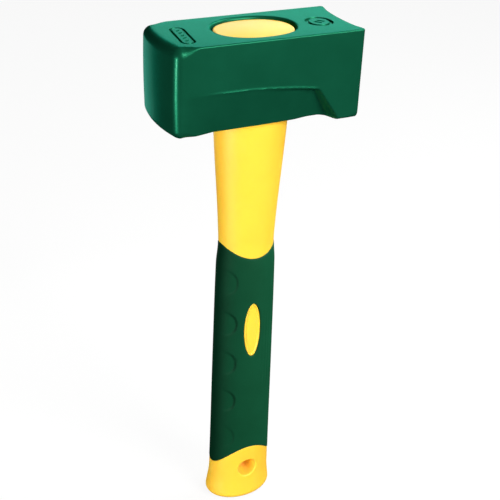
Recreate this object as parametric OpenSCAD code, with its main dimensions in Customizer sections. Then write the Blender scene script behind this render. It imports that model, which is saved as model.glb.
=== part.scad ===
// Lump hammer: a forged head bonded on an oval handle with a fibreglass core.
// Millimetres, +Z up. The origin is on the handle's axis, on the flat butt.
// X runs along the head, Y across it. The crowned striking face is at -X.

/* [Head] */
// Handle axis to the middle of the crowned striking face
crown_reach = 53.5; // [48:0.5:60]
// Handle axis to the corners of the hollow striking face
hollow_reach = 51; // [46:0.5:60]
// Width across the two flat sides
head_w = 45; // [42:0.5:50]
// Height from the cheeks' underside to the flat top
head_h = 45; // [40:0.5:50]
// How far the foot at the hollow end drops below the cheeks
foot_drop = 1.2; // [0:0.1:3]
// Radius of the crowned striking face, seen from above
crown_r = 80; // [70:1:120]
// Radius of the hollow striking face, seen from above
hollow_r = 110; // [90:1:150]
// Radius of the crowned end's upright corners
crown_corner_r = 2.6; // [1:0.1:4]
// Radius of the hollow end's upright corners
hollow_corner_r = 1.6; // [0.5:0.1:3]
// Radius of the crowned end's top and bottom edges
crown_edge_r = 4; // [2:0.1:5]
// Radius under the foot's outer edge
foot_edge_r = 3; // [1:0.1:4]
// Depth of the side relief at the underside
relief_depth = 5; // [2:0.1:5.4]
// Height of the side relief's crease above the underside
relief_h = 20.5; // [12:0.5:28]

/* [Eye] */
// Long axis of the eye at the top and bottom mouths
eye_mouth = 44; // [43:0.1:45]
// Long axis of the eye at its waist
eye_waist = 42; // [41.5:0.1:43]
// Long axis of the handle's tang inside the eye
tang_w = 40.8; // [38:0.1:41.2]
// Long axis of the oval cap over the tang
cap_w = 42; // [40:0.1:42]
// Thickness of the cap at its rim
cap_rim = 4; // [3:0.1:6]
// Height of the cap's dome above its rim
cap_dome = 1.2; // [0.5:0.1:2]
// How far the cap's rim sits below the head's top
cap_recess = 1.6; // [1:0.1:3]

/* [Handle] */
// Overall length from the butt to the head's top
overall_len = 298; // [285:1:310]
// Depth across the oval as a share of its width
oval_ratio = 0.72; // [0.65:0.01:0.73]
// Width of the flared butt
butt_w = 41.6; // [39:0.1:44]
// Width where the flare begins
heel_w = 38.2; // [36:0.1:39]
// Width in the middle of the grip
palm_w = 36; // [34:0.1:38]
// Width at the top of the grip
guard_w = 34.1; // [33:0.1:35]
// Width at the narrow waist above the grip
waist_w = 32.2; // [30:0.1:33]
// Radius round the butt's lower edge
butt_edge_r = 3; // [1:0.1:4]
// Radius of the hanging hole
hang_r = 6; // [4:0.1:7]
// Height of the hanging hole's centre
hang_z = 23.5; // [20:0.5:26]

/* [Grip] */
// Thickness of the soft grip at the sides
grip_t = 2.2; // [1.5:0.1:3]
// Height of the grip's lower edge on each face
grip_low_z = 40; // [38:0.5:50]
// Drop of the lower edge from the face to the side
grip_low_drop = 14; // [8:0.5:16]
// Height of the grip's upper edge on each face
grip_high_z = 172; // [165:0.5:175]
// Rise of the upper edge from the face to the side
grip_high_rise = 6.5; // [3:0.5:10]
// How far the upper edge's low point sits off the middle, towards the hollow end
grip_high_lean = 1.6; // [0:0.1:3]
// Height of the oval window's centre
window_z = 125.5; // [110:0.5:140]
// Length of the oval window
window_len = 35.4; // [25:0.1:45]
// Width of the oval window
window_w = 10.4; // [6:0.1:14]
// How far the boss in the window lies below the grip
window_step = 0.5; // [0.2:0.1:1]

/* [Core] */
// Width of the oval fibreglass core
core_w = 24; // [18:0.5:26]
// Height of the core's lower end
core_low_z = 35; // [34:0.5:45]

/* [Hidden] */
$fn = 96;
eps = 0.01;
far = 200;

head_green = [0.08, 0.33, 0.23];
grip_green = [0.10, 0.38, 0.27];
handle_yellow = [0.99, 0.80, 0.13];
resin_grey = [0.16, 0.17, 0.14];
core_cream = [0.86, 0.83, 0.68];

head_top = overall_len;
cheek_z = head_top - head_h;
foot_z = cheek_z - foot_drop;
crease_z = cheek_z + relief_h;
eye_mid_z = cheek_z + head_h * 0.45;

cap_top_rim = head_top - cap_recess;
cap_floor = cap_top_rim - cap_rim;
tang_top = cap_floor;
core_high_z = tang_top - 3;

// Height and half-width pairs that the handle's side outline runs through.
stations = [
    [butt_edge_r, butt_w / 2],
    [18, heel_w / 2],
    [105, palm_w / 2],
    [165, guard_w / 2],
    [178, waist_w / 2],
    [190, waist_w / 2 + 0.45],
    [cheek_z, tang_w / 2],
];
outline_step = 7;

// Monotone cubic through the stations: secants, slopes and the Hermite blend.
function secant(i) = (stations[i + 1][1] - stations[i][1]) / (stations[i + 1][0] - stations[i][0]);
function same_way(a, b) = a * b <= 0 ? 0 : 2 * a * b / (a + b);
function slope(i) =
    i == 0 ? secant(0)
    : i == len(stations) - 1 ? secant(i - 1)
    : same_way(secant(i - 1), secant(i));
function span(z, i = 0) = i >= len(stations) - 2 || z < stations[i + 1][0] ? i : span(z, i + 1);
function blend(t, w0, w1, m0, m1) =
    (2 * t ^ 3 - 3 * t ^ 2 + 1) * w0 + (t ^ 3 - 2 * t ^ 2 + t) * m0
    + (3 * t ^ 2 - 2 * t ^ 3) * w1 + (t ^ 3 - t ^ 2) * m1;
function half_width(z) =
    let (i = span(z), h = stations[i + 1][0] - stations[i][0], t = (z - stations[i][0]) / h)
    blend(t, stations[i][1], stations[i + 1][1], slope(i) * h, slope(i + 1) * h);

// Side outline of the handle from z0 to z1, set in by inset, as [radius, z] points.
function side(z0, z1, inset = 0) =
    let (n = ceil((z1 - z0) / outline_step))
    [for (i = [0:n]) let (z = z0 + (z1 - z0) * i / n) [half_width(z) - inset, z]];

// Points of an arc, from angle a0 to a1 in n steps.
function arc(centre, r, a0, a1, n) =
    [for (i = [0:n]) let (a = a0 + (a1 - a0) * i / n) centre + r * [cos(a), sin(a)]];

// Turns a half outline of [radius, z] points into an oval solid.
module oval(points) {
    scale([1, oval_ratio, 1]) rotate_extrude() polygon(points);
}

// Oval column between two heights.
module oval_post(width, z0, z1) {
    translate([0, 0, z0]) scale([1, oval_ratio, 1]) cylinder(d = width, h = z1 - z0);
}

// Extrudes a drawing in X and Z right across Y.
module across(depth) {
    translate([0, depth / 2, 0]) rotate([90, 0, 0]) linear_extrude(depth) children();
}

// ---------- head ----------

// Plan of the head: a crowned end at -X and a hollow end at +X. Each corner arc
// touches the side and its end's arc, so the outline has no kinks there.
module head_plan() {
    half = head_w / 2;
    crown_x = crown_r - crown_reach;
    crown_in = half - crown_corner_r;
    crown_turn = asin(crown_in / (crown_r - crown_corner_r));
    crown_corner_x = crown_x - sqrt((crown_r - crown_corner_r) ^ 2 - crown_in ^ 2);
    hollow_in = half - hollow_corner_r;
    hollow_turn = asin(hollow_in / (hollow_r + hollow_corner_r));
    hollow_corner_x = hollow_reach - hollow_corner_r;
    hollow_x = hollow_corner_x + sqrt((hollow_r + hollow_corner_r) ^ 2 - hollow_in ^ 2);
    polygon(concat(
        arc([crown_x, 0], crown_r, 180 - crown_turn, 180 + crown_turn, 16),
        arc([crown_corner_x, -crown_in], crown_corner_r, 180 + crown_turn, 270, 5),
        arc([hollow_corner_x, -hollow_in], hollow_corner_r, -90, hollow_turn, 6),
        arc([hollow_x, 0], hollow_r, 180 + hollow_turn, 180 - hollow_turn, 16),
        arc([hollow_corner_x, hollow_in], hollow_corner_r, -hollow_turn, 90, 6),
        arc([crown_corner_x, crown_in], crown_corner_r, 90, 180 - crown_turn, 5)
    ));
}

// Side view of the head, with rounded crowned edges and the foot under the hollow end.
module head_profile() {
    left = -crown_reach;
    right = hollow_reach + 0.5;
    foot_start = 30;
    foot_full = 36;
    top_r = crown_edge_r;
    low_r = crown_edge_r + 0.8;
    polygon(concat(
        arc([left + top_r, head_top - top_r], top_r, 90, 180, 8),
        arc([left + low_r, cheek_z + low_r], low_r, 180, 270, 8),
        [[foot_start, cheek_z], [foot_full, foot_z]],
        arc([right - foot_edge_r, foot_z + foot_edge_r], foot_edge_r, -90, 0, 6),
        [[right, head_top]]
    ));
}

// The wedge taken off one side, below the crease and short of the foot.
module side_relief() {
    tilt = atan(relief_depth / relief_h);
    fade_angle = 20;
    fade_start = -46;
    intersection() {
        translate([0, -head_w / 2, crease_z]) rotate([tilt, 0, 0])
            translate([-far / 2, -far, -far]) cube([far, far, far]);
        across(far) polygon([
            [fade_start, foot_z - 5], [fade_start, crease_z + 1],
            [0, crease_z + 0.5], [25, crease_z - 3.5], [36, foot_z - 2], [36, foot_z - 5],
        ]);
        translate([fade_start, -head_w / 2, 0]) rotate([0, 0, fade_angle])
            translate([0, -far, 0]) cube([far, far, far * 2]);
    }
}

// The eye: an oval hole, narrowest at its waist.
module eye() {
    oval([
        [0, foot_z - 5], [eye_mouth / 2, foot_z - 5], [eye_mouth / 2, cheek_z],
        [eye_waist / 2, eye_mid_z], [eye_mouth / 2, head_top],
        [eye_mouth / 2, head_top + 5], [0, head_top + 5],
    ]);
}

module head() {
    color(head_green) difference() {
        intersection() {
            translate([0, 0, foot_z - 1]) linear_extrude(head_top - foot_z + 1) head_plan();
            across(far) head_profile();
        }
        side_relief();
        mirror([0, 1, 0]) side_relief();
        eye();
    }
}

// ---------- eye filling ----------

// Cured resin that fills the eye round the tang, up to the cap.
module eye_bond() {
    color(resin_grey) oval([
        [tang_w / 2, cheek_z], [eye_mouth / 2 - eps, cheek_z], [eye_waist / 2 - eps, eye_mid_z],
        [eye_at(tang_top) - eps, tang_top], [tang_w / 2, tang_top],
    ]);
}

// Half of the eye's long axis at a height above its waist.
function eye_at(z) =
    eye_waist / 2 + (eye_mouth - eye_waist) / 2 * (z - eye_mid_z) / (head_top - eye_mid_z);

// Domed oval cap that closes the eye over the tang.
module eye_cap() {
    half = cap_w / 2;
    dome_r = (half ^ 2 + cap_dome ^ 2) / (2 * cap_dome);
    dome_angle = asin(half / dome_r) + 1;
    dome_z = cap_top_rim + cap_dome - dome_r;
    color(handle_yellow) intersection() {
        oval_post(cap_w, cap_floor, head_top);
        rotate_extrude() polygon(concat(
            [[0, cap_floor - 1], [half + 5, cap_floor - 1]],
            arc([0, dome_z], dome_r, 90 - dome_angle, 90, 8)
        ));
    }
}

// ---------- handle ----------

// The whole handle below the head, sheath and grip together. The butt's edge arc
// runs out along its tangent to below the floor, and floor_cut() trims it flat.
module envelope() {
    edge_turn = 70;
    edge_centre = [butt_w / 2 - butt_edge_r, butt_edge_r];
    edge_foot = edge_centre + butt_edge_r * [cos(edge_turn), -sin(edge_turn)];
    runout = edge_foot - 2 * [sin(edge_turn), cos(edge_turn)];
    oval(concat(
        [[0, runout[1]], runout],
        arc(edge_centre, butt_edge_r, -edge_turn, 0, 5),
        side(butt_edge_r + 2, cheek_z),
        [[0, cheek_z]]
    ));
}

// Everything below the flat that the butt stands on.
module floor_cut() {
    translate([-far / 2, -far / 2, -far]) cube(far);
}

// The band between the grip's lower and upper edges, drawn in X and Z.
module grip_band() {
    reach = 24;
    steps = 24;
    function low(x) = grip_low_z - grip_low_drop * (2 * x / heel_w) ^ 2;
    function high(x) = grip_high_z + grip_high_rise * (2 * (x - grip_high_lean) / waist_w) ^ 2;
    across(far) polygon(concat(
        [for (i = [0:steps]) let (x = -reach + 2 * reach * i / steps) [x, low(x)]],
        [for (i = [0:steps]) let (x = reach - 2 * reach * i / steps) [x, high(x)]]
    ));
}

// Oval prism of the window, right through both faces.
module window_prism() {
    translate([0, 0, window_z]) scale([window_w / window_len, 1, 1])
        rotate([90, 0, 0]) cylinder(d = window_len, h = far, center = true);
}

// The sheath's surface under the grip.
module grip_seat(inset) {
    low = grip_low_z - grip_low_drop * 2;
    high = grip_high_z + grip_high_rise * 2;
    oval(concat([[0, low]], side(low, high, inset), [[0, high]]));
}

// Fibreglass rod, from above the hanging hole to just under the cap.
module handle_core() {
    color(core_cream) oval_post(core_w, core_low_z, core_high_z);
}

// Moulded sheath: tang, neck, grip seat with its window bosses, and the butt.
module handle_body() {
    color(handle_yellow) difference() {
        union() {
            oval_post(tang_w, cheek_z - 1, tang_top);
            difference() {
                envelope();
                grip_band();
            }
            grip_seat(grip_t);
            intersection() {
                grip_seat(window_step);
                window_prism();
            }
        }
        oval_post(core_w, core_low_z, core_high_z);
        translate([0, 0, hang_z]) rotate([90, 0, 0]) cylinder(r = hang_r, h = far, center = true);
        floor_cut();
    }
}

// Soft grip moulded round the sheath, open at the two oval windows.
module grip() {
    color(grip_green) difference() {
        intersection() {
            envelope();
            grip_band();
        }
        grip_seat(grip_t);
        window_prism();
    }
}

head();
eye_bond();
eye_cap();
handle_core();
handle_body();
grip();
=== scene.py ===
"""A lump hammer: forged head, oval moulded handle, soft grip with oval windows and finger scallops."""
import math

import bmesh
import bpy
import numpy as np
from mathutils import Matrix, Vector


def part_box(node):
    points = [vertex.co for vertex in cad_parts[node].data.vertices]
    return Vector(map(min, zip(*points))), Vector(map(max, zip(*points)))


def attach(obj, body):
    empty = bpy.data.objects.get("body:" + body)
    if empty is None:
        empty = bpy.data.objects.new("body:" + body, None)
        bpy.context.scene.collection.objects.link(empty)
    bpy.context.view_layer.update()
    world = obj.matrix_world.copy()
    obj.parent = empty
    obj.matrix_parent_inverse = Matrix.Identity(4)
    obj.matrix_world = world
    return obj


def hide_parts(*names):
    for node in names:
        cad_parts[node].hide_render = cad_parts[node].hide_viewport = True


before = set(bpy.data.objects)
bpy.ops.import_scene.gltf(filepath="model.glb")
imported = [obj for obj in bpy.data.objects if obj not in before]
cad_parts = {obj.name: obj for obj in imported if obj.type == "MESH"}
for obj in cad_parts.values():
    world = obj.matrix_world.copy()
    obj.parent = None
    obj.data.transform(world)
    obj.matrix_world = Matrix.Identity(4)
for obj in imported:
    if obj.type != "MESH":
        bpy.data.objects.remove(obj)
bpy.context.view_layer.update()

# Shapes are worked out in millimetres, in the frame of the CAD model: the handle's axis is Z,
# the head runs along X, and the butt stands on Z 0. Camera, lamps and bumps are in metres.
MM = 0.001


def box_mm(node):
    """Lowest and highest corner of a CAD node, in millimetres."""
    low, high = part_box(node)
    return np.array(low) / MM, np.array(high) / MM


HEAD_LOW, HEAD_HIGH = box_mm("head")
CAP_LOW, CAP_HIGH = box_mm("eye_cap")
HEAD_TOP = HEAD_HIGH[2]
FOOT_Z = HEAD_LOW[2]
# The head's underside beside the foot, where the resin in the eye starts.
CHEEK_Z = box_mm("eye_bond")[0][2]
TANG_TOP = box_mm("handle_body")[1][2]
# Depth of the handle's oval, as a share of its width.
OVAL = 0.72

# ---------- small maths ----------


def smooth(edge0, edge1, x):
    """Eases from 0 at edge0 to 1 at edge1."""
    t = np.clip((x - edge0) / (edge1 - edge0), 0, 1)
    return t * t * (3 - 2 * t)


def bump(x, centre, width):
    """A soft ridge of height 1."""
    return np.exp(-(((x - centre) / width) ** 2))


def eased_rows(count):
    """Steps from 0 to 1 that are closer together at both ends."""
    t = np.linspace(0, 1, count)
    return 0.5 * t + 0.5 * t * t * (3 - 2 * t)


def quarter(count):
    """Angles from 0 to 90 degrees, in radians."""
    return np.radians(np.linspace(0, 90, count))


def arc(centre, radius, start, stop, count):
    """Points of an arc in the plan, without its last one."""
    a = np.radians(np.linspace(start, stop, count, endpoint=False))
    return np.stack([centre[0] + radius * np.cos(a), centre[1] + radius * np.sin(a)], -1)


def rounded_oval(turn, power):
    """Unit points of an oval that is fuller than an ellipse when power is over 2."""
    c, s = np.cos(turn), np.sin(turn)
    reach = (np.abs(c) ** power + np.abs(s) ** power) ** (-1 / power)
    return np.stack([c * reach, s * reach], -1)


def at_height(flat, z):
    """Plan points at one height, or at a height for each point."""
    return np.column_stack([flat, np.broadcast_to(z, len(flat))])


# ---------- mesh making ----------


class Shell:
    """Collects the points and faces of one closed piece."""

    def __init__(self):
        self.points = []
        self.faces = []
        self.count = 0

    def add(self, points):
        """Adds an array of points and returns their numbers in the array's own shape."""
        points = np.asarray(points, float)
        numbers = self.count + np.arange(points[..., 0].size).reshape(points.shape[:-1])
        self.points.append(points.reshape(-1, 3))
        self.count += numbers.size
        return numbers

    def skin(self, grid, keep=None):
        """Quads between a grid's rows, whose columns close into rings. keep masks them."""
        after = np.roll(grid, -1, axis=1)
        quads = np.stack([grid[:-1], after[:-1], after[1:], grid[1:]], -1)
        self.faces.append(quads[keep] if keep is not None else quads.reshape(-1, 4))

    def cap(self, ring, centre):
        """Closes a ring with a fan round one point."""
        middle = self.add(np.asarray(centre)[None])[0]
        fan = np.stack([ring, np.roll(ring, -1), np.full(len(ring), middle)], -1)
        self.faces.append(fan)

    def build(self, name):
        """Makes the Blender object, in metres, with its faces turned outwards."""
        points = np.concatenate(self.points) * MM
        faces = [face for block in self.faces for face in block.tolist()]
        mesh = bpy.data.meshes.new(name)
        mesh.from_pydata(points.tolist(), [], faces)
        tidy = bmesh.new()
        tidy.from_mesh(mesh)
        bmesh.ops.remove_doubles(tidy, verts=tidy.verts, dist=1e-7)
        bmesh.ops.recalc_face_normals(tidy, faces=tidy.faces)
        tidy.to_mesh(mesh)
        tidy.free()
        mesh.shade_smooth()
        made = bpy.data.objects.new(name, mesh)
        bpy.context.scene.collection.objects.link(made)
        return made


def patch_loop(grid, rows, columns):
    """The ring of grid points round a rectangle of rows and columns, and the mask of quads left."""
    r0, r1 = rows
    c0, c1 = columns
    loop = np.concatenate([
        grid[r0, c0:c1], grid[r0:r1, c1], grid[r1, c1:c0:-1], grid[r1:r0:-1, c0],
    ])
    keep = np.ones((grid.shape[0] - 1, grid.shape[1]), bool)
    keep[r0:r1, c0:c1] = False
    return loop, keep


# ---------- head ----------

HEAD_HALF = HEAD_HIGH[1]
HEAD_TALL = HEAD_TOP - CHEEK_Z
CROWN_R = 80.0
HOLLOW_R = 110.0
CROWN_CORNER_R = 5.0
HOLLOW_CORNER_R = 1.6
# How far the crowned face also curves back at its top and bottom, and the X range that it eases in over.
CROWN_BULGE = 0.5
CROWN_BULGE_X = (-44, -52)

# The rounded edges above and below the sides, and what the crowned and hollow ends add to them.
TOP_EDGE_R = 0.7
TOP_CROWN_R = 3.8
TOP_HOLLOW_R = 0.9
LOW_EDGE_R = 1.3
LOW_CROWN_R = 2.7
LOW_HOLLOW_R = 1.9
# The X ranges, and for the hollow end's corners the distance in from the sides, that they ease in over.
TOP_CROWN_X = (-37, -47)
LOW_CROWN_X = (-38, -45)
HOLLOW_X = (45, 48.5)
HOLLOW_IN = (2.5, 9)

# The side's crease: its drop from the top, and how it bows down past BOW_X.
CREASE_DROP = 23.9
CREASE_BOW = 0.0017
BOW_X = -22
RIDGE_HIGH = 0.24
RIDGE_START_X = (-40, -22)
RIDGE_END_X = (24, 27)
# Below the crease: a wedge, a ledge that thins downwards, and more depth towards the step.
WEDGE_DEEP = 4.5
LEDGE_DEEP = 1.9
LEDGE_THINS = 0.06
LEDGE_X = (-5, 24)
LEDGE_END_DEEP = 1.3
LEDGE_END_X = (15, 26)
RELIEF_START_X = -48
RELIEF_FADE = 19
# The slanted step before the foot: where it starts, its slant, and its width.
STEP_X = 27.3
STEP_DROP = 28.4
STEP_SLANT = 0.70
STEP_WIDE = 2.6
STEP_WIDENS = 0.08

# The eye's half-axes at its ends and its waist, and the roundness of its two mouths.
EYE_TOP = np.array([21.9, 16.5])
EYE_WAIST = np.array([21.0, 15.1])
EYE_LOW = np.array([21.3, 15.2])
EYE_WAIST_Z = CHEEK_Z + 0.45 * HEAD_TALL
EYE_POWER = 2.2
TOP_MOUTH_R = 1.3
LOW_MOUTH_R = 0.5
# A point of the outline faces the eye as if the head reached SPOKE_X from its middle.
SPOKE_X = 26
# The underside slopes down to the foot over FOOT_X.
FOOT_X = (30, 36.5)
# The curve that the underside's rings pass on the way in: its half-width, less some near the foot,
# and how far in from the head's ends it lies.
UNDER_HALF = 16.0
UNDER_FOOT_IN = 2.2
UNDER_FOOT_X = (12, 24)
UNDER_END_IN = 5
UNDER_END_X = (38, 50)


def head_plan():
    """The head's outline from above, with the crowned end at -X and the hollow end at +X."""
    crown_x = HEAD_LOW[0] + CROWN_R
    crown_in = HEAD_HALF - CROWN_CORNER_R
    crown_turn = math.degrees(math.asin(crown_in / (CROWN_R - CROWN_CORNER_R)))
    crown_corner_x = crown_x - (CROWN_R - CROWN_CORNER_R) * math.cos(math.radians(crown_turn))
    hollow_in = HEAD_HALF - HOLLOW_CORNER_R
    hollow_turn = math.degrees(math.asin(hollow_in / (HOLLOW_R + HOLLOW_CORNER_R)))
    hollow_corner_x = HEAD_HIGH[0] - HOLLOW_CORNER_R
    hollow_x = hollow_corner_x + (HOLLOW_R + HOLLOW_CORNER_R) * math.cos(math.radians(hollow_turn))
    side = np.linspace(0, 1, 130, endpoint=False)[1:, None]
    front = np.array([[crown_corner_x, -HEAD_HALF], [hollow_corner_x, -HEAD_HALF]])
    back = np.array([[hollow_corner_x, HEAD_HALF], [crown_corner_x, HEAD_HALF]])
    return np.concatenate([
        arc([crown_x, 0], CROWN_R, 180 - crown_turn, 180 + crown_turn, 56),
        arc([crown_corner_x, -crown_in], CROWN_CORNER_R, 180 + crown_turn, 270, 12),
        front[:1], front[0] + (front[1] - front[0]) * side,
        arc([hollow_corner_x, -hollow_in], HOLLOW_CORNER_R, -90, hollow_turn, 10),
        arc([hollow_x, 0], HOLLOW_R, 180 + hollow_turn, 180 - hollow_turn, 52),
        arc([hollow_corner_x, hollow_in], HOLLOW_CORNER_R, -hollow_turn, 90, 10),
        back[:1], back[0] + (back[1] - back[0]) * side,
        arc([crown_corner_x, crown_in], CROWN_CORNER_R, 90, 180 - crown_turn, 12),
    ])


def plan_normals(plan):
    """Outward directions at the outline's points."""
    along = np.roll(plan, -1, axis=0) - np.roll(plan, 1, axis=0)
    across = np.stack([along[:, 1], -along[:, 0]], -1)
    return across / np.linalg.norm(across, axis=1, keepdims=True)


def edge_radii(plan):
    """At each point of the outline: the top edge's radius, the low edge's, and how far that one goes in."""
    x, y = plan[:, 0], plan[:, 1]
    hollow = smooth(*HOLLOW_X, x)
    inward = smooth(*HOLLOW_IN, HEAD_HALF - np.abs(y))
    top = TOP_EDGE_R + TOP_CROWN_R * smooth(*TOP_CROWN_X, x) + TOP_HOLLOW_R * hollow * inward
    low = LOW_EDGE_R + LOW_CROWN_R * smooth(*LOW_CROWN_X, x) + LOW_HOLLOW_R * hollow
    return top, low, low - LOW_HOLLOW_R * hollow * (1 - inward)


def relief(x, z):
    """How far a side face is set in: a wedge and a ledge below a bowed crease with a fine ridge,
    fading at the crowned end and ending at a slanted step before the foot."""
    drop = z - HEAD_TOP
    crease = -CREASE_DROP - CREASE_BOW * np.maximum(x - BOW_X, 0) ** 2
    below = crease - drop
    wedge = 0.5 * (below + np.sqrt(below**2 + 0.35)) * WEDGE_DEEP / (HEAD_TALL + crease)
    wedge = wedge * smooth(-2.5, 1.0, below)
    ledge = (LEDGE_DEEP - LEDGE_THINS * below) * smooth(*LEDGE_X, x)
    ledge = (ledge + LEDGE_END_DEEP * smooth(*LEDGE_END_X, x)) * smooth(0.1, 1.8, below)
    fade = np.clip((x - RELIEF_START_X) / RELIEF_FADE, 0, 1)
    past = -STEP_DROP - drop
    step_end = STEP_X + STEP_SLANT * past
    step = 1 - smooth(step_end - STEP_WIDE - STEP_WIDENS * past, step_end, x)
    ridge = RIDGE_HIGH * bump(below, -0.2, 0.55)
    ridge = ridge * smooth(*RIDGE_START_X, x) * (1 - smooth(*RIDGE_END_X, x))
    return (wedge + ledge) * fade * step - ridge


def underside(x):
    """Height of the head's underside, with the foot under the hollow end."""
    return CHEEK_Z + (FOOT_Z - CHEEK_Z) * smooth(*FOOT_X, x)


def eye_size(z):
    """The eye's two half-axes at height z."""
    if z < EYE_WAIST_Z:
        return EYE_LOW + (EYE_WAIST - EYE_LOW) * (z - CHEEK_Z) / (EYE_WAIST_Z - CHEEK_Z)
    return EYE_WAIST + (EYE_TOP - EYE_WAIST) * (z - EYE_WAIST_Z) / (HEAD_TOP - EYE_WAIST_Z)


def outer_rows(plan):
    """Rings from the top's edge down the head's outside and in under its low edge."""
    out = plan_normals(plan)
    x, y = plan[:, 0], plan[:, 1]
    top_r, low_r, low_in = edge_radii(plan)
    top_start = HEAD_TOP - top_r
    low_start = underside(x) + low_r
    middle = (HEAD_TOP + CHEEK_Z) / 2
    rows = []

    def row(inset, z, relief_z):
        """The outline at height z, moved in by inset and by the relief's depth at relief_z."""
        flat = plan - out * np.reshape(inset, (-1, 1))
        flat[:, 1] -= np.sign(y) * relief(x, relief_z) * out[:, 1] ** 2
        flat[:, 0] += CROWN_BULGE * ((z - middle) / (HEAD_TALL / 2)) ** 2 * smooth(*CROWN_BULGE_X, x)
        rows.append(at_height(flat, z))

    for a in quarter(9):
        z = HEAD_TOP - top_r * (1 - np.cos(a))
        row(top_r * (1 - np.sin(a)), z, z)
    for s in eased_rows(124)[1:-1]:
        z = top_start + s * (low_start - top_start)
        row(0.0, z, z)
    for a in quarter(9):
        row(low_in * (1 - np.cos(a)), underside(x) + low_r * (1 - np.sin(a)), low_start)
    return rows


def underside_rows(plan, low_edge, mouth):
    """Rings across the underside, from its edge in to a curve near the eye and on to the eye's mouth."""
    x, y = plan[:, 0], plan[:, 1]
    inner = low_edge.copy()
    inner[:, 0] -= UNDER_END_IN * np.sign(x) * smooth(*UNDER_END_X, np.abs(inner[:, 0]))
    inner[:, 1] = y * (UNDER_HALF - UNDER_FOOT_IN * smooth(*UNDER_FOOT_X, inner[:, 0])) / HEAD_HALF
    stages = ((low_edge, inner, (0.35, 0.7, 1)), (inner, mouth, np.linspace(0, 1, 14)[1:-1]))
    rows = []
    for start, end, shares in stages:
        for s in shares:
            between = start + s * (end - start)
            between[:, 2] = underside(between[:, 0])
            rows.append(between)
    return rows


def eye_rows(oval):
    """Rings up through the eye, with a rounded mouth at each end."""
    rows = []
    for a in quarter(6):
        flat = oval * (EYE_LOW + LOW_MOUTH_R * (1 - math.sin(a)))
        rows.append(at_height(flat, CHEEK_Z + LOW_MOUTH_R * (1 - math.cos(a))))
    for z in np.linspace(CHEEK_Z + LOW_MOUTH_R, HEAD_TOP - TOP_MOUTH_R, 12)[1:-1]:
        rows.append(at_height(oval * eye_size(z), z))
    for a in quarter(10)[::-1]:
        flat = oval * (EYE_TOP + TOP_MOUTH_R * (1 - math.sin(a)))
        rows.append(at_height(flat, HEAD_TOP - TOP_MOUTH_R * (1 - math.cos(a))))
    return rows


def head_piece():
    """The head as one torus of quads: down the outside, in below, up through the eye and over the top."""
    plan = head_plan()
    turn = np.arctan2(plan[:, 1] / HEAD_HALF, plan[:, 0] / SPOKE_X)
    outside = outer_rows(plan)
    eye = eye_rows(rounded_oval(turn, EYE_POWER))
    below = underside_rows(plan, outside[-1], eye[0])
    above = [eye[-1] + s * (outside[0] - eye[-1]) for s in eased_rows(18)[1:-1]]
    shell = Shell()
    grid = shell.add(np.array(outside + below + eye + above))
    shell.skin(np.concatenate([grid, grid[:1]]))
    head = shell.build("head_forging")
    strike(head, stamp_cutter())
    return head


# ---------- stamps in the head's top ----------

STAMP_DEEP = 0.8
STAMP_DRAFT = 0.3
# Edges that turn by more than this, in degrees, stay crisp after the cut.
CRISP_TURN = 28
FRAME_X, FRAME_Y = -39.0, -2.5
ROUND_X, ROUND_Y = 35.0, -3.0


def stadium(centre, half_long, radius, turn, count=18):
    """A closed round-ended outline; its long axis is turned from Y, in degrees."""
    a = np.radians(np.linspace(0, 180, count))
    top = np.stack([radius * np.cos(a), half_long + radius * np.sin(a)], -1)
    flat = np.concatenate([top, -top])
    c, s = math.cos(math.radians(turn)), math.sin(math.radians(turn))
    return np.array(centre) + flat @ np.array([[c, s], [-s, c]])


def groove_levels(width):
    """A groove cutter's heights, and its half-width at each."""
    half = width / 2
    return [(HEAD_TOP - STAMP_DEEP, half - STAMP_DRAFT), (HEAD_TOP, half), (HEAD_TOP + 0.2, half + 0.1)]


def stamp_bar(shell, centre, half_long, turn, width):
    """A straight round-ended groove."""
    levels = groove_levels(width)
    grid = shell.add(np.array([at_height(stadium(centre, half_long, half, turn), z) for z, half in levels]))
    shell.skin(grid)
    shell.cap(grid[0], [*centre, levels[0][0]])
    shell.cap(grid[-1], [*centre, levels[-1][0]])


def stamp_frame(shell, centre, half_long, radius, turn, width):
    """A round-ended groove that closes on itself."""
    levels = groove_levels(width)
    walls = [(z, radius - half) for z, half in levels]
    walls += [(z, radius + half) for z, half in reversed(levels)]
    rings = [at_height(stadium(centre, half_long, reach, turn, count=30), z) for z, reach in walls]
    grid = shell.add(np.array(rings))
    shell.skin(np.concatenate([grid, grid[:1]]))


def stamp_cutter():
    """Plain stamps: a long frame with slanted bars at the crowned end, a round one at the hollow end."""
    shell = Shell()
    stamp_frame(shell, (FRAME_X, FRAME_Y), half_long=9.5, radius=3.2, turn=-6, width=1.3)
    for y in np.linspace(-8.0, 8.0, 5):
        stamp_bar(shell, (FRAME_X + 0.1 * y, FRAME_Y + y), half_long=0.8, turn=-50, width=1.2)
    stamp_frame(shell, (ROUND_X, ROUND_Y), half_long=0.6, radius=6.0, turn=0, width=2.2)
    for aside in (-1.5, 1.5):
        centre = (ROUND_X + 0.8 * aside, ROUND_Y + 0.6 * aside)
        stamp_bar(shell, centre, half_long=1.6, turn=37, width=1.6)
    return shell.build("stamp_cutter")


def strike(piece, cutter):
    """Cuts the cutter out of a piece, and keeps the cut's edges crisp."""
    cut = piece.modifiers.new("cut", "BOOLEAN")
    cut.object = cutter
    cut.operation = "DIFFERENCE"
    cut.solver = "EXACT"
    bpy.context.view_layer.update()
    mesh = bpy.data.meshes.new_from_object(piece.evaluated_get(bpy.context.evaluated_depsgraph_get()))
    piece.modifiers.clear()
    piece.data = mesh
    mesh.name = piece.name
    mesh.set_sharp_from_angle(angle=math.radians(CRISP_TURN))
    bpy.data.objects.remove(cutter)


# ---------- handle outline ----------

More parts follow.
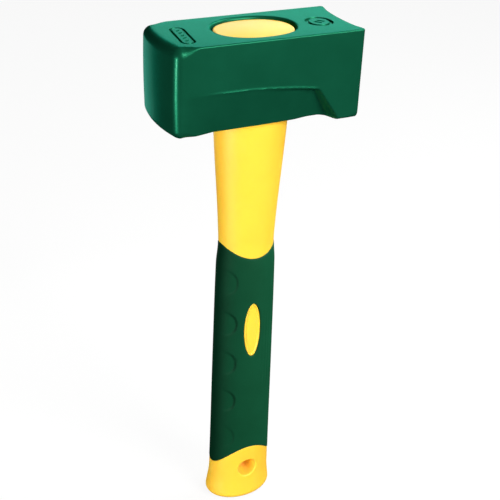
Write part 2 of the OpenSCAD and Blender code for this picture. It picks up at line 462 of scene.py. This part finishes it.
# Height and half-width pairs that the handle's side outline runs through.
STATIONS = np.array([
    [3.0, 20.8], [18.0, 19.1], [105.0, 18.0], [165.0, 17.05],
    [178.0, 16.1], [190.0, 16.55], [253.0, 20.4],
])
# How far the butt's end leans towards -X, and the height at which the lean starts.
BUTT_LEAN = 0.5
BUTT_LEAN_Z = 24

# The grip's edges, seen along Y: the height at the middle, and the fall or rise towards the sides.
GRIP_LOW_Z = 40
GRIP_LOW_FALL = 14
GRIP_LOW_HALF = 19.1
GRIP_HIGH_Z = 172
GRIP_HIGH_RISE = 6.5
GRIP_HIGH_X = 1.6
GRIP_HIGH_HALF = 16.1


def station_slopes():
    """Slopes of a monotone cubic through the stations."""
    step = np.diff(STATIONS, axis=0)
    secant = step[:, 1] / step[:, 0]
    inner = np.where(
        secant[:-1] * secant[1:] > 0,
        2 * secant[:-1] * secant[1:] / (secant[:-1] + secant[1:] + 1e-12), 0,
    )
    return np.concatenate([secant[:1], inner, secant[-2:-1]])


SLOPES = station_slopes()


def half_width(z):
    """Half of the handle's long axis at height z."""
    z = np.asarray(z, float)
    i = np.clip(np.searchsorted(STATIONS[:, 0], z, side="right") - 1, 0, len(STATIONS) - 2)
    h = STATIONS[i + 1, 0] - STATIONS[i, 0]
    t = np.clip((z - STATIONS[i, 0]) / h, 0, 1)
    return (
        (2 * t**3 - 3 * t**2 + 1) * STATIONS[i, 1] + (t**3 - 2 * t**2 + t) * h * SLOPES[i]
        + (3 * t**2 - 2 * t**3) * STATIONS[i + 1, 1] + (t**3 - t**2) * h * SLOPES[i + 1]
    )


def on_handle(turn, z, lift):
    """Points on the handle's oval at angle turn and height z, lifted off its surface."""
    wide = half_width(z)
    deep = wide * OVAL
    nx, ny = np.cos(turn) / wide, np.sin(turn) / deep
    size = np.hypot(nx, ny)
    x = wide * np.cos(turn) + lift * nx / size - BUTT_LEAN * (1 - smooth(0, BUTT_LEAN_Z, z))
    y = deep * np.sin(turn) + lift * ny / size
    return np.stack(np.broadcast_arrays(x, y, z), -1)


def on_face(seen, side, lift):
    """Points at x and z, as seen along Y, on the front (side -1) or the back (side 1)."""
    x, z = seen
    turn = side * np.arccos(np.clip(x / half_width(z), -1, 1))
    return on_handle(turn, z, lift)


def grip_low(x):
    """Lower edge of the grip, seen along Y."""
    return GRIP_LOW_Z - GRIP_LOW_FALL * (x / GRIP_LOW_HALF) ** 2


def grip_high(x):
    """Upper edge of the grip, seen along Y."""
    return GRIP_HIGH_Z + GRIP_HIGH_RISE * ((x - GRIP_HIGH_X) / GRIP_HIGH_HALF) ** 2


def edge_height(edge, turn):
    """Where an edge drawn in X and Z crosses the handle's surface at each angle."""
    z = edge(18 * np.cos(turn))
    for _ in range(6):
        z = edge(half_width(z) * np.cos(turn))
    return z


AROUND = 224
TURN = np.linspace(0, 2 * np.pi, AROUND, endpoint=False)
LOW_EDGE = edge_height(grip_low, TURN)
HIGH_EDGE = edge_height(grip_high, TURN)

# ---------- patches of the front and back faces ----------

# The window's middle and half-axes, and the half-height and half-columns of the patch cut for it.
WINDOW_Z = 125.5
WINDOW = np.array([5.2, 17.7])
WINDOW_PATCH = 24.0
WINDOW_COLUMNS = 20
# The same for the hanging hole, and the roundness of its mouths.
HOLE_Z = 23.5
HOLE_R = 6.0
HOLE_EDGE_R = 0.9
HOLE_PATCH = 10.5
HOLE_COLUMNS = 22


def face_column(side):
    """The column at the middle of the front (side -1) or back (side 1) face."""
    return AROUND * 3 // 4 if side < 0 else AROUND // 4


def patch_at(z, centre_z, half_tall, half_columns, side):
    """Rows and columns of a patch of a face about centre_z, from the heights of a grid's rows."""
    face = face_column(side)
    near = int(np.argmin(np.abs(z[:, face] - centre_z)))
    half = int(round(half_tall / (z[near + 1, face] - z[near, face])))
    return (near - half, near + half), (face - half_columns, face + half_columns)


def face_oval(size, centre_z, a):
    """An oval on a face at the angles a, as x and z arrays."""
    return size[0] * np.cos(a), centre_z + size[1] * np.sin(a)


def patch_rings(points, centre_z, size, weights):
    """Rings from a rectangular loop of points in to an oval, as x and z arrays, and the oval's angles."""
    x, z = points[:, 0], points[:, 2]
    half_x, half_z = np.abs(x).max(), np.abs(z - centre_z).max()
    a = np.arctan2((z - centre_z) / half_z, x / half_x)
    oval_x, oval_z = face_oval(size, centre_z, a)
    return [(x + w * (oval_x - x), z + w * (oval_z - z)) for w in weights], a


# ---------- grip ----------

GRIP_T = 2.2
# Half the height of the patch that each window cuts from the grip.
GRIP_PATCH = 20.75
# How far the grip stands proud of the handle, and how its two edges round over.
GRIP_PROUD = 0.18
EDGE_FALL = 0.55
EDGE_WIDE = 0.6
LIP_R = 0.7
# The scallops' middle and half-axes, and the height and depth of each.
SCALLOP_X = -18.0
SCALLOP = np.array([9.0, 8.4])
SCALLOP_POWER = 2.3
SCALLOPS = [(49.5, 0.4), (76.5, 0.9), (103.5, 0.9), (130.5, 0.9), (157.5, 0.5)]
SCALLOP_FADE_X = (-9, -16.5)
# The fine ribs: the heights between which they run, and where each stands.
RIB_Z = (87, 131)
RIB_X = (7.5, 9.9, 12.1, 14.0, 15.5)
RIB_HIGH = 0.16


def grip_relief(x, z):
    """Height of the grip's moulded detail: finger scallops on one side, palm ribs on the other."""
    lift = np.zeros_like(x)
    for height, depth in SCALLOPS:
        across, up = np.abs(x - SCALLOP_X) / SCALLOP[0], np.abs(z - height) / SCALLOP[1]
        reach = (across**SCALLOP_POWER + up**SCALLOP_POWER) ** (1 / SCALLOP_POWER)
        away = (reach - 1) * SCALLOP[1]
        lift -= depth * (1 - smooth(-0.8, 0.1, away)) * (1 - smooth(*SCALLOP_FADE_X, x))
    along = smooth(RIB_Z[0] - 6, RIB_Z[0] + 4, z) * (1 - smooth(RIB_Z[1] - 4, RIB_Z[1] + 6, z))
    for rib_x in RIB_X:
        lift += RIB_HIGH * bump(x, rib_x, 0.45) * along
    return lift


def grip_lift(turn, z, low, high):
    """The grip's outer surface above the handle's outline, rounded over at its two edges."""
    x = half_width(z) * np.cos(turn)
    inside = np.minimum(z - low, high - z)
    rim = GRIP_PROUD - EDGE_FALL * (1 - np.sqrt(1 - np.clip(1 - inside / EDGE_WIDE, 0, 1) ** 2))
    return rim + grip_relief(x, z) * smooth(1.0, 4.0, inside)


def window_rings(loop_points, side):
    """Rings through a window: in to its rounded lip, down its wall and out along the inner skin."""
    weights = [0.15, 0.3, 0.45, 0.6, 0.75, 0.87, 1.0]
    rings, a = patch_rings(loop_points, WINDOW_Z, WINDOW + LIP_R, weights)
    strip = [on_face(seen, side, GRIP_PROUD + grip_relief(*seen)) for seen in rings]
    for b in np.radians(np.linspace(15, 90, 6)):
        seen = face_oval(WINDOW + LIP_R * (1 - math.sin(b)), WINDOW_Z, a)
        strip.append(on_face(seen, side, GRIP_PROUD - LIP_R * (1 - math.cos(b))))
    strip.append(on_face(face_oval(WINDOW, WINDOW_Z, a), side, -GRIP_T))
    return strip + [on_face(seen, side, -GRIP_T) for seen in reversed(rings)]


def grip_piece():
    """The grip: outer and inner skins, joined round its edges and through its two windows."""
    edge_steps = np.array([0, 0.06, 0.18, 0.36, 0.6, 1.0]) / 140
    between = np.linspace(0.0115, 1 - 0.0115, 200)
    steps = np.concatenate([edge_steps, between, 1 - edge_steps[::-1]])
    z = LOW_EDGE + steps[:, None] * (HIGH_EDGE - LOW_EDGE)
    turn = np.broadcast_to(TURN, z.shape)
    shell = Shell()
    outer_grid = shell.add(on_handle(turn, z, grip_lift(turn, z, LOW_EDGE, HIGH_EDGE)))
    inner_grid = shell.add(on_handle(turn, z, -GRIP_T))
    keep = np.ones((len(steps) - 1, AROUND), bool)
    for side in (-1, 1):
        rows, columns = patch_at(z, WINDOW_Z, GRIP_PATCH, WINDOW_COLUMNS, side)
        outer_loop, left = patch_loop(outer_grid, rows, columns)
        inner_loop, _ = patch_loop(inner_grid, rows, columns)
        keep &= left
        loop_points = np.concatenate(shell.points)[outer_loop]
        through = shell.add(np.array(window_rings(loop_points, side)))
        shell.skin(np.concatenate([outer_loop[None], through, inner_loop[None]]))
    shell.skin(outer_grid, keep)
    shell.skin(inner_grid, keep)
    shell.skin(np.stack([outer_grid[0], inner_grid[0]]))
    shell.skin(np.stack([outer_grid[-1], inner_grid[-1]]))
    return shell.build("grip_rubber")


# ---------- handle body ----------

BUTT_R = 4.4
BUTT_FLOOR = (0.96, 0.9, 0.75, 0.5, 0.25, 0.08)
TANG_LID = (0.8, 0.5, 0.2)
TANG_EDGE = 0.6
# The seat under the grip, and the rounded shoulders on each side of it.
SEAT = GRIP_T + 0.03
SHOULDER_R = 0.45
# The boss in each window: its rim below the handle's outline, and the panel sunk into it.
BOSS_DROP = 0.15
PANEL_INSET = 2.0
PANEL_DROP = BOSS_DROP + 0.75
# Inset from the window and drop below the rim, from the boss's foot up and over to the panel.
BOSS_PROFILE = [
    (0.20, 0.8), (0.22, 0.35), (0.32, 0.12), (0.5, 0.0), (0.8, -0.02),
    (1.0, 0.05), (1.3, 0.5), (1.5, 0.7), (PANEL_INSET, 0.75),
]


def boss_rings(loop_points, side):
    """The oval boss that fills a window: up from the seat, over its rim and into its sunk panel."""
    rings, a = patch_rings(loop_points, WINDOW_Z, WINDOW - 0.1, [0.3, 0.6, 0.85, 1.0])
    strip = [on_face(seen, side, -SEAT) for seen in rings]
    for inset, drop in BOSS_PROFILE:
        strip.append(on_face(face_oval(WINDOW - inset, WINDOW_Z, a), side, -BOSS_DROP - drop))
    for share in (0.8, 0.6, 0.4, 0.2, 0.06):
        seen = face_oval((WINDOW - PANEL_INSET) * share, WINDOW_Z, a)
        strip.append(on_face(seen, side, -PANEL_DROP))
    middle = on_face((np.zeros(1), np.full(1, WINDOW_Z)), side, -PANEL_DROP)
    return strip, middle[0]


def hole_rings(loop_points, side):
    """One mouth of the hanging hole, from the butt's surface over its rounded edge."""
    size = np.full(2, HOLE_R + HOLE_EDGE_R)
    rings, a = patch_rings(loop_points, HOLE_Z, size, [0.25, 0.5, 0.75, 1.0])
    strip = [on_face(seen, side, 0.0) for seen in rings]
    for b in np.radians(np.linspace(15, 90, 6)):
        size = np.full(2, HOLE_R + HOLE_EDGE_R * (1 - math.sin(b)))
        strip.append(on_face(face_oval(size, HOLE_Z, a), side, -HOLE_EDGE_R * (1 - math.cos(b))))
    return strip


def handle_rows():
    """Heights and lifts of the handle's rings, from the butt's floor to the tang's end."""
    rows, lifts = [], []

    def row(z, lift=0.0):
        """A ring at height z, lifted off the handle's outline."""
        rows.append(np.broadcast_to(z, TURN.shape))
        lifts.append(np.broadcast_to(lift, TURN.shape))

    for b in quarter(12)[::-1]:
        row(BUTT_R * (1 - math.sin(b)), -BUTT_R * (1 - math.cos(b)))
    for s in np.linspace(0, 1, 64)[1:]:
        row(BUTT_R + s * (LOW_EDGE - SHOULDER_R - BUTT_R))
    for b in np.radians([30, 60, 90]):
        row(LOW_EDGE - SHOULDER_R * (1 - math.sin(b)), -SHOULDER_R * (1 - math.cos(b)))
    for s in np.linspace(0, 1, 110):
        row(LOW_EDGE + s * (HIGH_EDGE - LOW_EDGE), -SEAT)
    for b in np.radians([90, 60, 30]):
        row(HIGH_EDGE + SHOULDER_R * (1 - math.sin(b)), -SHOULDER_R * (1 - math.cos(b)))
    for s in np.linspace(0, 1, 90):
        row(HIGH_EDGE + SHOULDER_R + s * (CHEEK_Z - HIGH_EDGE - SHOULDER_R))
    for s in np.linspace(0, 1, 10)[1:]:
        row(CHEEK_Z + s * (TANG_TOP - TANG_EDGE - CHEEK_Z))
    row(TANG_TOP, -TANG_EDGE)
    return np.array(rows), np.array(lifts)


def handle_piece():
    """The moulded handle: butt with its hanging hole, seat under the grip, neck and tang."""
    z, lift = handle_rows()
    points = on_handle(np.broadcast_to(TURN, z.shape), z, lift)
    flat_points = points.reshape(-1, 3)
    shell = Shell()
    grid = shell.add(points)
    keep = np.ones((len(z) - 1, AROUND), bool)
    mouths = []
    for side in (-1, 1):
        loop, left = patch_loop(grid, *patch_at(z, HOLE_Z, HOLE_PATCH, HOLE_COLUMNS, side))
        keep &= left
        strip = shell.add(np.array(hole_rings(flat_points[loop], side)))
        shell.skin(np.concatenate([loop[None], strip]))
        mouths.append(strip[-1])
        loop, left = patch_loop(grid, *patch_at(z, WINDOW_Z, WINDOW_PATCH, WINDOW_COLUMNS, side))
        keep &= left
        rings, middle = boss_rings(flat_points[loop], side)
        strip = shell.add(np.array(rings))
        shell.skin(np.concatenate([loop[None], strip]))
        shell.cap(strip[-1], middle)
    shell.skin(grid, keep)
    bridge_hole(shell, *mouths)
    disc = shell.add(np.array([points[0] * [s, s, 1] for s in BUTT_FLOOR]))
    shell.skin(np.concatenate([grid[:1], disc]))
    shell.cap(disc[-1], [0, 0, 0])
    lid = shell.add(np.array([points[-1] * [s, s, 1] for s in TANG_LID]))
    shell.skin(np.concatenate([grid[-1:], lid]))
    shell.cap(lid[-1], [0, 0, TANG_TOP])
    return shell.build("handle_moulding")


def bridge_hole(shell, front, back):
    """The wall of the hanging hole, from the front mouth to the back one."""
    points = np.concatenate(shell.points)

    def by_angle(ring):
        """A mouth's ring, in the order of its angles round the hole."""
        a = np.arctan2(points[ring, 2] - HOLE_Z, points[ring, 0])
        return ring[np.argsort(a)]

    front, back = by_angle(front), by_angle(back)
    between = [points[front] + s * (points[back] - points[front]) for s in np.linspace(0, 1, 10)[1:-1]]
    wall = shell.add(np.array(between))
    shell.skin(np.concatenate([front[None], wall, back[None]]))


# ---------- eye cap and bond ----------

CAP_SIZE = np.array([20.9, 15.9])
CAP_EDGE_R = 0.8
# The flat parts of the cap are this much smaller, and its rim is this far below its middle.
CAP_INSET = 0.6
CAP_DOME = 0.8
BOND_GAP = 0.02
BOND_LOW_Z = CHEEK_Z + 1.3


def cap_piece():
    """The domed plug in the top of the eye."""
    outline = rounded_oval(np.linspace(0, 2 * np.pi, 200, endpoint=False), EYE_POWER)
    low, rim = CAP_LOW[2], CAP_HIGH[2] - CAP_DOME
    rows = [at_height(outline * (CAP_SIZE - CAP_INSET) * share, low) for share in (0.1, 0.5, 0.9)]
    rows.append(at_height(outline * (CAP_SIZE - 0.5), low))
    rows.append(at_height(outline * (CAP_SIZE - 0.3), low + 0.3))
    rows.append(at_height(outline * CAP_SIZE, rim - CAP_EDGE_R))
    for b in np.radians(np.linspace(15, 75, 5)):
        flat = outline * (CAP_SIZE - CAP_EDGE_R * (1 - math.cos(b)))
        rows.append(at_height(flat, rim - CAP_EDGE_R * (1 - math.sin(b))))
    for share in np.linspace(0.97, 0.04, 18):
        z = rim + (CAP_HIGH[2] - rim) * (1 - share**2)
        rows.append(at_height(outline * (CAP_SIZE - CAP_INSET) * share, z))
    shell = Shell()
    grid = shell.add(np.array(rows))
    shell.skin(grid)
    shell.cap(grid[0], [0, 0, low])
    shell.cap(grid[-1], [0, 0, CAP_HIGH[2]])
    return shell.build("eye_plug")


def bond_piece():
    """The resin ring between the tang and the eye, with a meniscus at each end."""
    turn = np.linspace(0, 2 * np.pi, 160, endpoint=False)
    outside = rounded_oval(turn, EYE_POWER)
    inside = rounded_oval(turn, 2) * STATIONS[-1, 1] * np.array([1, OVAL])
    rows = []

    def row(share, z):
        """A ring between the eye's wall, at share 0, and the tang, at share 1."""
        wall = outside * (eye_size(z) - BOND_GAP)
        rows.append(at_height(wall + share * (inside - wall), z))

    for z in np.linspace(BOND_LOW_Z, TANG_TOP, 8):
        row(0, z)
    for s in np.linspace(0, 1, 7)[1:-1]:
        row(s, TANG_TOP - 0.5 * math.sin(math.pi * s))
    for z in np.linspace(TANG_TOP, BOND_LOW_Z, 4):
        row(1, z)
    for s in np.linspace(1, 0, 7)[1:-1]:
        row(s, BOND_LOW_Z + 0.45 * math.sin(math.pi * s))
    shell = Shell()
    grid = shell.add(np.array(rows))
    shell.skin(np.concatenate([grid, grid[:1]]))
    return shell.build("eye_resin")


# ---------- materials ----------


class Nodes:
    """A material's node tree, built by short calls."""

    def __init__(self, name):
        self.material = bpy.data.materials.new(name)
        self.material.use_nodes = True
        self.tree = self.material.node_tree
        self.shader = self.tree.nodes["Principled BSDF"]
        self.place = self.add("ShaderNodeTexCoord").outputs["Object"]

    def add(self, kind):
        """A new node."""
        return self.tree.nodes.new(kind)

    def link(self, source, target):
        """Joins an output to an input."""
        self.tree.links.new(source, target)

    def noise(self, scale, detail):
        """Noise over the object's own coordinates, from 0 to 1."""
        node = self.add("ShaderNodeTexNoise")
        node.inputs["Scale"].default_value = scale
        node.inputs["Detail"].default_value = detail
        self.link(self.place, node.inputs["Vector"])
        return node.outputs["Fac"]

    def ramp(self, source, low, high):
        """A colour between two stops, each a position and a colour."""
        node = self.add("ShaderNodeValToRGB")
        for element, (position, colour) in zip(node.color_ramp.elements, (low, high)):
            element.position = position
            element.color = (*colour, 1)
        self.link(source, node.inputs["Fac"])
        return node.outputs["Color"]

    def spread(self, source, low, high):
        """A number from low to high."""
        node = self.add("ShaderNodeMapRange")
        node.inputs["To Min"].default_value = low
        node.inputs["To Max"].default_value = high
        self.link(source, node.inputs["Value"])
        return node.outputs["Result"]

    def relief(self, *layers):
        """Stacks bumps: pairs of a height source and its depth in metres."""
        normal = None
        for source, depth in layers:
            node = self.add("ShaderNodeBump")
            node.inputs["Strength"].default_value = 1.0
            node.inputs["Distance"].default_value = depth
            self.link(source, node.inputs["Height"])
            if normal:
                self.link(normal, node.inputs["Normal"])
            normal = node.outputs["Normal"]
        self.link(normal, self.shader.inputs["Normal"])

    def colour(self, source):
        """Drives the shader's colour."""
        self.link(source, self.shader.inputs["Base Color"])

    def rough(self, source):
        """Drives the shader's roughness."""
        self.link(source, self.shader.inputs["Roughness"])

    def set(self, **values):
        """Sets constants on the shader's own sockets."""
        for key, value in values.items():
            self.shader.inputs[key.replace("_", " ")].default_value = value


def head_paint():
    """Deep green lacquer with a fine metal flake over forged steel."""
    n = Nodes("painted_steel")
    n.colour(n.ramp(n.noise(60, 4), (0.3, (0.0050, 0.088, 0.044)), (0.7, (0.0062, 0.102, 0.052))))
    n.rough(n.spread(n.noise(900, 2), 0.33, 0.41))
    n.relief((n.noise(25, 2), 0.00012), (n.noise(1100, 3), 0.000010))
    n.set(Metallic=0.5, Specular_IOR_Level=0.0, Specular_Tint=(0.2, 1.0, 0.82, 1))
    n.set(Coat_Weight=0.04, Coat_Roughness=0.2)
    return n.material


def handle_plastic():
    """Satin yellow moulded plastic that lets a little light through."""
    n = Nodes("yellow_plastic")
    n.colour(n.ramp(n.noise(40, 2), (0.3, (0.97, 0.545, 0.044)), (0.7, (0.98, 0.575, 0.049))))
    n.rough(n.spread(n.noise(500, 2), 0.38, 0.46))
    n.relief((n.noise(1500, 2), 0.000006))
    n.set(Specular_IOR_Level=0.3, Subsurface_Weight=0.3, Subsurface_Radius=(1.0, 0.5, 0.15))
    n.set(Subsurface_Scale=0.008)
    return n.material


def grip_rubber():
    """Matt green rubber with a fine spark-eroded grain."""
    n = Nodes("green_rubber")
    n.colour(n.ramp(n.noise(50, 3), (0.3, (0.0036, 0.062, 0.026)), (0.7, (0.0045, 0.072, 0.031))))
    n.rough(n.spread(n.noise(700, 2), 0.5, 0.62))
    n.relief((n.noise(2200, 3), 0.00003))
    n.set(Specular_IOR_Level=0.12)
    return n.material


def resin():
    """Dark cured resin."""
    n = Nodes("cured_resin")
    n.colour(n.ramp(n.noise(300, 3), (0.3, (0.008, 0.010, 0.008)), (0.7, (0.02, 0.022, 0.018))))
    n.rough(n.spread(n.noise(400, 2), 0.25, 0.4))
    n.relief((n.noise(500, 2), 0.0001))
    return n.material


def fibreglass():
    """Pale fibreglass with strands along the rod."""
    n = Nodes("fibreglass")
    stretch = n.add("ShaderNodeMapping")
    stretch.inputs["Scale"].default_value = (1, 1, 0.02)
    n.link(n.place, stretch.inputs["Vector"])
    n.place = stretch.outputs["Vector"]
    n.colour(n.ramp(n.noise(2500, 4), (0.35, (0.62, 0.56, 0.36)), (0.65, (0.80, 0.76, 0.56))))
    n.rough(n.spread(n.noise(1500, 2), 0.4, 0.6))
    n.relief((n.noise(2500, 2), 0.00003))
    return n.material


def finish_piece(piece, material, node):
    """Gives a piece its material and body, and hides the CAD node it stands for."""
    piece.data.materials.clear()
    piece.data.materials.append(material)
    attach(piece, "root")
    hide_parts(node)
    return piece


# ---------- the object ----------

yellow = handle_plastic()
head = finish_piece(head_piece(), head_paint(), "head")
handle = finish_piece(handle_piece(), yellow, "handle_body")
grip = finish_piece(grip_piece(), grip_rubber(), "grip")
finish_piece(cap_piece(), yellow, "eye_cap")
finish_piece(bond_piece(), resin(), "eye_bond")
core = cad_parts["handle_core"]
core.data.materials.clear()
core.data.materials.append(fibreglass())

# ---------- camera, floor and light, in metres ----------

CAMERA_PLACE = (-0.20873, -0.41935, 0.43562)
CAMERA_AZIMUTH = -26.754
CAMERA_ELEVATION = 29.405
CAMERA_ROLL = 2.249
CAMERA_LENS = 69.59
ROOM_REACH = 8.0
# The floor lies this far under the butt, so that the two faces don't flicker.
FLOOR_GAP = 0.0004


def turned(azimuth, elevation, roll):
    """Rotation of a camera that looks along +Y at azimuth 0, and down by elevation."""
    z, x, spin = [math.radians(a) for a in (azimuth, 90 - elevation, roll)]
    return Matrix.Rotation(z, 3, "Z") @ Matrix.Rotation(x, 3, "X") @ Matrix.Rotation(spin, 3, "Z")


def camera():
    """The scene's camera."""
    lens = bpy.data.cameras.new("camera")
    lens.lens = CAMERA_LENS
    lens.sensor_width = 36
    lens.clip_start, lens.clip_end = 0.01, 50
    made = bpy.data.objects.new("camera", lens)
    made.location = CAMERA_PLACE
    made.rotation_euler = turned(CAMERA_AZIMUTH, CAMERA_ELEVATION, CAMERA_ROLL).to_euler()
    bpy.context.scene.collection.objects.link(made)
    bpy.context.scene.camera = made


def lamp(name, place, aim, power, size, colour=(1, 1, 1)):
    """A rectangular lamp at place that shines at aim. size is its width and height."""
    data = bpy.data.lights.new(name, "AREA")
    data.energy = power
    data.color = colour
    data.shape = "RECTANGLE"
    data.size, data.size_y = size
    made = bpy.data.objects.new(name, data)
    made.location = place
    made.rotation_euler = (Vector(aim) - Vector(place)).to_track_quat("-Z", "Y").to_euler()
    made.visible_camera = False
    bpy.context.scene.collection.objects.link(made)
    return made


def light_only(light, *pieces):
    """Makes a lamp light only the given pieces."""
    light.light_linking.receiver_collection = bpy.data.collections.new("lit_by_" + light.name)
    for piece in pieces:
        light.light_linking.receiver_collection.objects.link(piece)


def floor_shape(shape):
    """A round floor that reaches the backdrop."""
    bmesh.ops.create_circle(shape, cap_ends=True, segments=64, radius=ROOM_REACH * 1.01)


def backdrop_shape(shape):
    """A sphere round the scene, with its faces turned inwards."""
    bmesh.ops.create_uvsphere(shape, u_segments=48, v_segments=24, radius=ROOM_REACH)
    bmesh.ops.reverse_faces(shape, faces=shape.faces)


def stage_piece(name, draw, glow, paint):
    """A pale surface that the camera sees, but that doesn't light the hammer."""
    mesh = bpy.data.meshes.new(name)
    made = bpy.data.objects.new(name, mesh)
    shape = bmesh.new()
    draw(shape)
    shape.to_mesh(mesh)
    shape.free()
    made.location.z = -FLOOR_GAP
    bpy.context.scene.collection.objects.link(made)
    n = Nodes(name)
    n.set(Base_Color=(paint, paint, paint, 1), Roughness=1.0, Specular_IOR_Level=0.0)
    n.set(Emission_Color=(1, 1, 1, 1), Emission_Strength=glow)
    mesh.materials.append(n.material)
    made.visible_diffuse = made.visible_glossy = False
    made.visible_transmission = made.visible_shadow = False


def sky_light(low, high):
    """Soft light from all round, weak from below and stronger from above."""
    made = bpy.data.worlds.new("studio")
    made.use_nodes = True
    tree = made.node_tree
    way = tree.nodes.new("ShaderNodeTexCoord")
    split = tree.nodes.new("ShaderNodeSeparateXYZ")
    ramp = tree.nodes.new("ShaderNodeMapRange")
    ramp.inputs["From Min"].default_value = -0.3
    ramp.inputs["From Max"].default_value = 0.9
    ramp.inputs["To Min"].default_value = low
    ramp.inputs["To Max"].default_value = high
    tree.links.new(way.outputs["Generated"], split.inputs[0])
    tree.links.new(split.outputs["Z"], ramp.inputs["Value"])
    tree.links.new(ramp.outputs["Result"], tree.nodes["Background"].inputs["Strength"])
    bpy.context.scene.world = made


def studio_lamps():
    """The key and overhead lamps, two cards for glints, and soft lamps for single pieces."""
    handle_middle = Vector((0, 0, 0.15))
    head_middle = Vector((0, 0, (HEAD_TOP + CHEEK_Z) / 2)) * MM
    head_end = Vector((HEAD_LOW[0] * MM, 0, head_middle.z))
    head_corner = Vector((HEAD_LOW[0] + 3, HEAD_LOW[1] + 1, HEAD_TOP - 16)) * MM
    softbox = (0.5, 0.6)
    left = (-0.75, -0.45, 0.10)
    lamp("key", (0.36, -0.80, 0.66), handle_middle, 15.0, softbox, (1.0, 0.98, 0.94))
    lamp("overhead", (0.65, 0.10, 0.85), head_middle, 8.3, (0.5, 0.5), (0.97, 1.0, 1.0))
    lamp("back_card", (0.17, 0.26, 0.385), head_middle, 0.38, (0.35, 0.07), (0.9, 1.0, 1.02))
    lamp("end_card", (-0.09, 0.37, 0.143), head_end, 0.13, (0.20, 0.12))
    corner_strip = lamp("corner_strip", (-0.43, -0.215, 0.165), head_corner, 1.5, (0.03, 0.07))
    fill = lamp("fill", left, handle_middle, 8.5, softbox, (1.0, 1.0, 0.98))
    grip_fill = lamp("grip_fill", left, handle_middle, 2.4, softbox)
    rear = lamp("rear", (0.15, 0.85, 0.40), handle_middle, 6.0, softbox)
    light_only(fill, handle)
    light_only(grip_fill, grip)
    light_only(rear, handle, grip)
    light_only(corner_strip, head)


camera()
stage_piece("floor", floor_shape, glow=0.92, paint=0.08)
stage_piece("backdrop", backdrop_shape, glow=0.98, paint=0.02)
sky_light(0.14, 0.30)
studio_lamps()
bpy.context.scene.view_settings.view_transform = "Standard"
